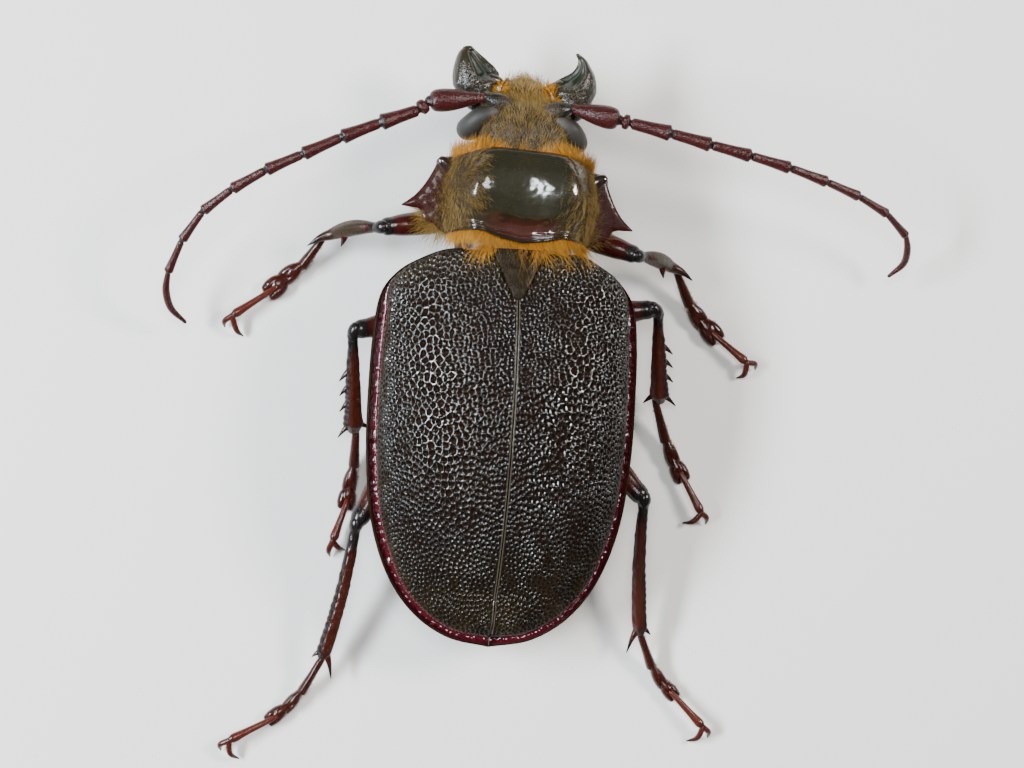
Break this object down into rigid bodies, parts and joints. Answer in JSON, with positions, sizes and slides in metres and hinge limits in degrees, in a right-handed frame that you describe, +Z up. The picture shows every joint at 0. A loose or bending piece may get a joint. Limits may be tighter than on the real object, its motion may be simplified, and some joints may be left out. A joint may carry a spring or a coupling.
{
  "type": "prionine longhorn beetle, standing",
  "caption": "Life-size still model of a broad, sculptured longhorn beetle standing on its six feet, jaws open, feelers spread.",
  "frame": {"origin": "on the floor, under the middle of the box round the feelers and feet", "axes": "+Y ahead of the beetle, +X to its right, +Z up"},
  "size_m": [0.0538, 0.0512, 0.0123],
  "materials": {
    "wing_case": "glossy, with raised net-like ridges; blackish brown with dark red pits and rim",
    "pronotum": "glossy olive black, finely punctured, dark red margins",
    "head": "satin dark brown, closely punctured, under short golden hair",
    "eye": "dull grey with fine facets",
    "mandible": "glossy olive black, rugose outside and smooth inside",
    "mouth": "satin red brown",
    "antenna": "glossy dark maroon, finely punctured",
    "leg": "glossy dark maroon with black knees",
    "foot": "satin red brown over golden pads",
    "belly": "satin red brown",
    "hair": "fine golden and orange hair"
  },
  "bodies": {
    "root": {"abdomen": "belly", "antenna_flagellum_base_left": "antenna", "antenna_flagellum_base_right": "antenna", "antenna_flagellum_mid_left": "antenna", "antenna_flagellum_mid_right": "antenna", "antenna_flagellum_tip_left": "antenna", "antenna_flagellum_tip_right": "antenna", "antenna_pedicel_left": "antenna", "antenna_pedicel_right": "antenna", "antenna_scape_left": "antenna", "antenna_scape_right": "antenna", "claws_fore_left": "foot", "claws_fore_right": "foot", "claws_hind_left": "foot", "claws_hind_right": "foot", "claws_mid_left": "foot", "claws_mid_right": "foot", "coxa_fore_left": "leg", "coxa_fore_right": "leg", "coxa_hind_left": "leg", "coxa_hind_right": "leg", "coxa_mid_left": "leg", "coxa_mid_right": "leg", "elytron_left": "wing_case", "elytron_right": "wing_case", "eye_left": "eye", "eye_right": "eye", "femur_fore_left": "leg", "femur_fore_right": "leg", "femur_hind_left": "leg", "femur_hind_right": "leg", "femur_mid_left": "leg", "femur_mid_right": "leg", "head": "head", "labium": "mouth", "labrum": "mouth", "mandible_left": "mandible", "mandible_right": "mandible", "maxillary_palp_left": "mouth", "maxillary_palp_right": "mouth", "pronotum": "pronotum", "pterothorax": "belly", "scutellum": "head", "tarsus_fore_left": "foot", "tarsus_fore_right": "foot", "tarsus_hind_left": "foot", "tarsus_hind_right": "foot", "tarsus_mid_left": "foot", "tarsus_mid_right": "foot", "tibia_fore_left": "leg", "tibia_fore_right": "leg", "tibia_hind_left": "leg", "tibia_hind_right": "leg", "tibia_mid_left": "leg", "tibia_mid_right": "leg"}
  },
  "joints": []
}
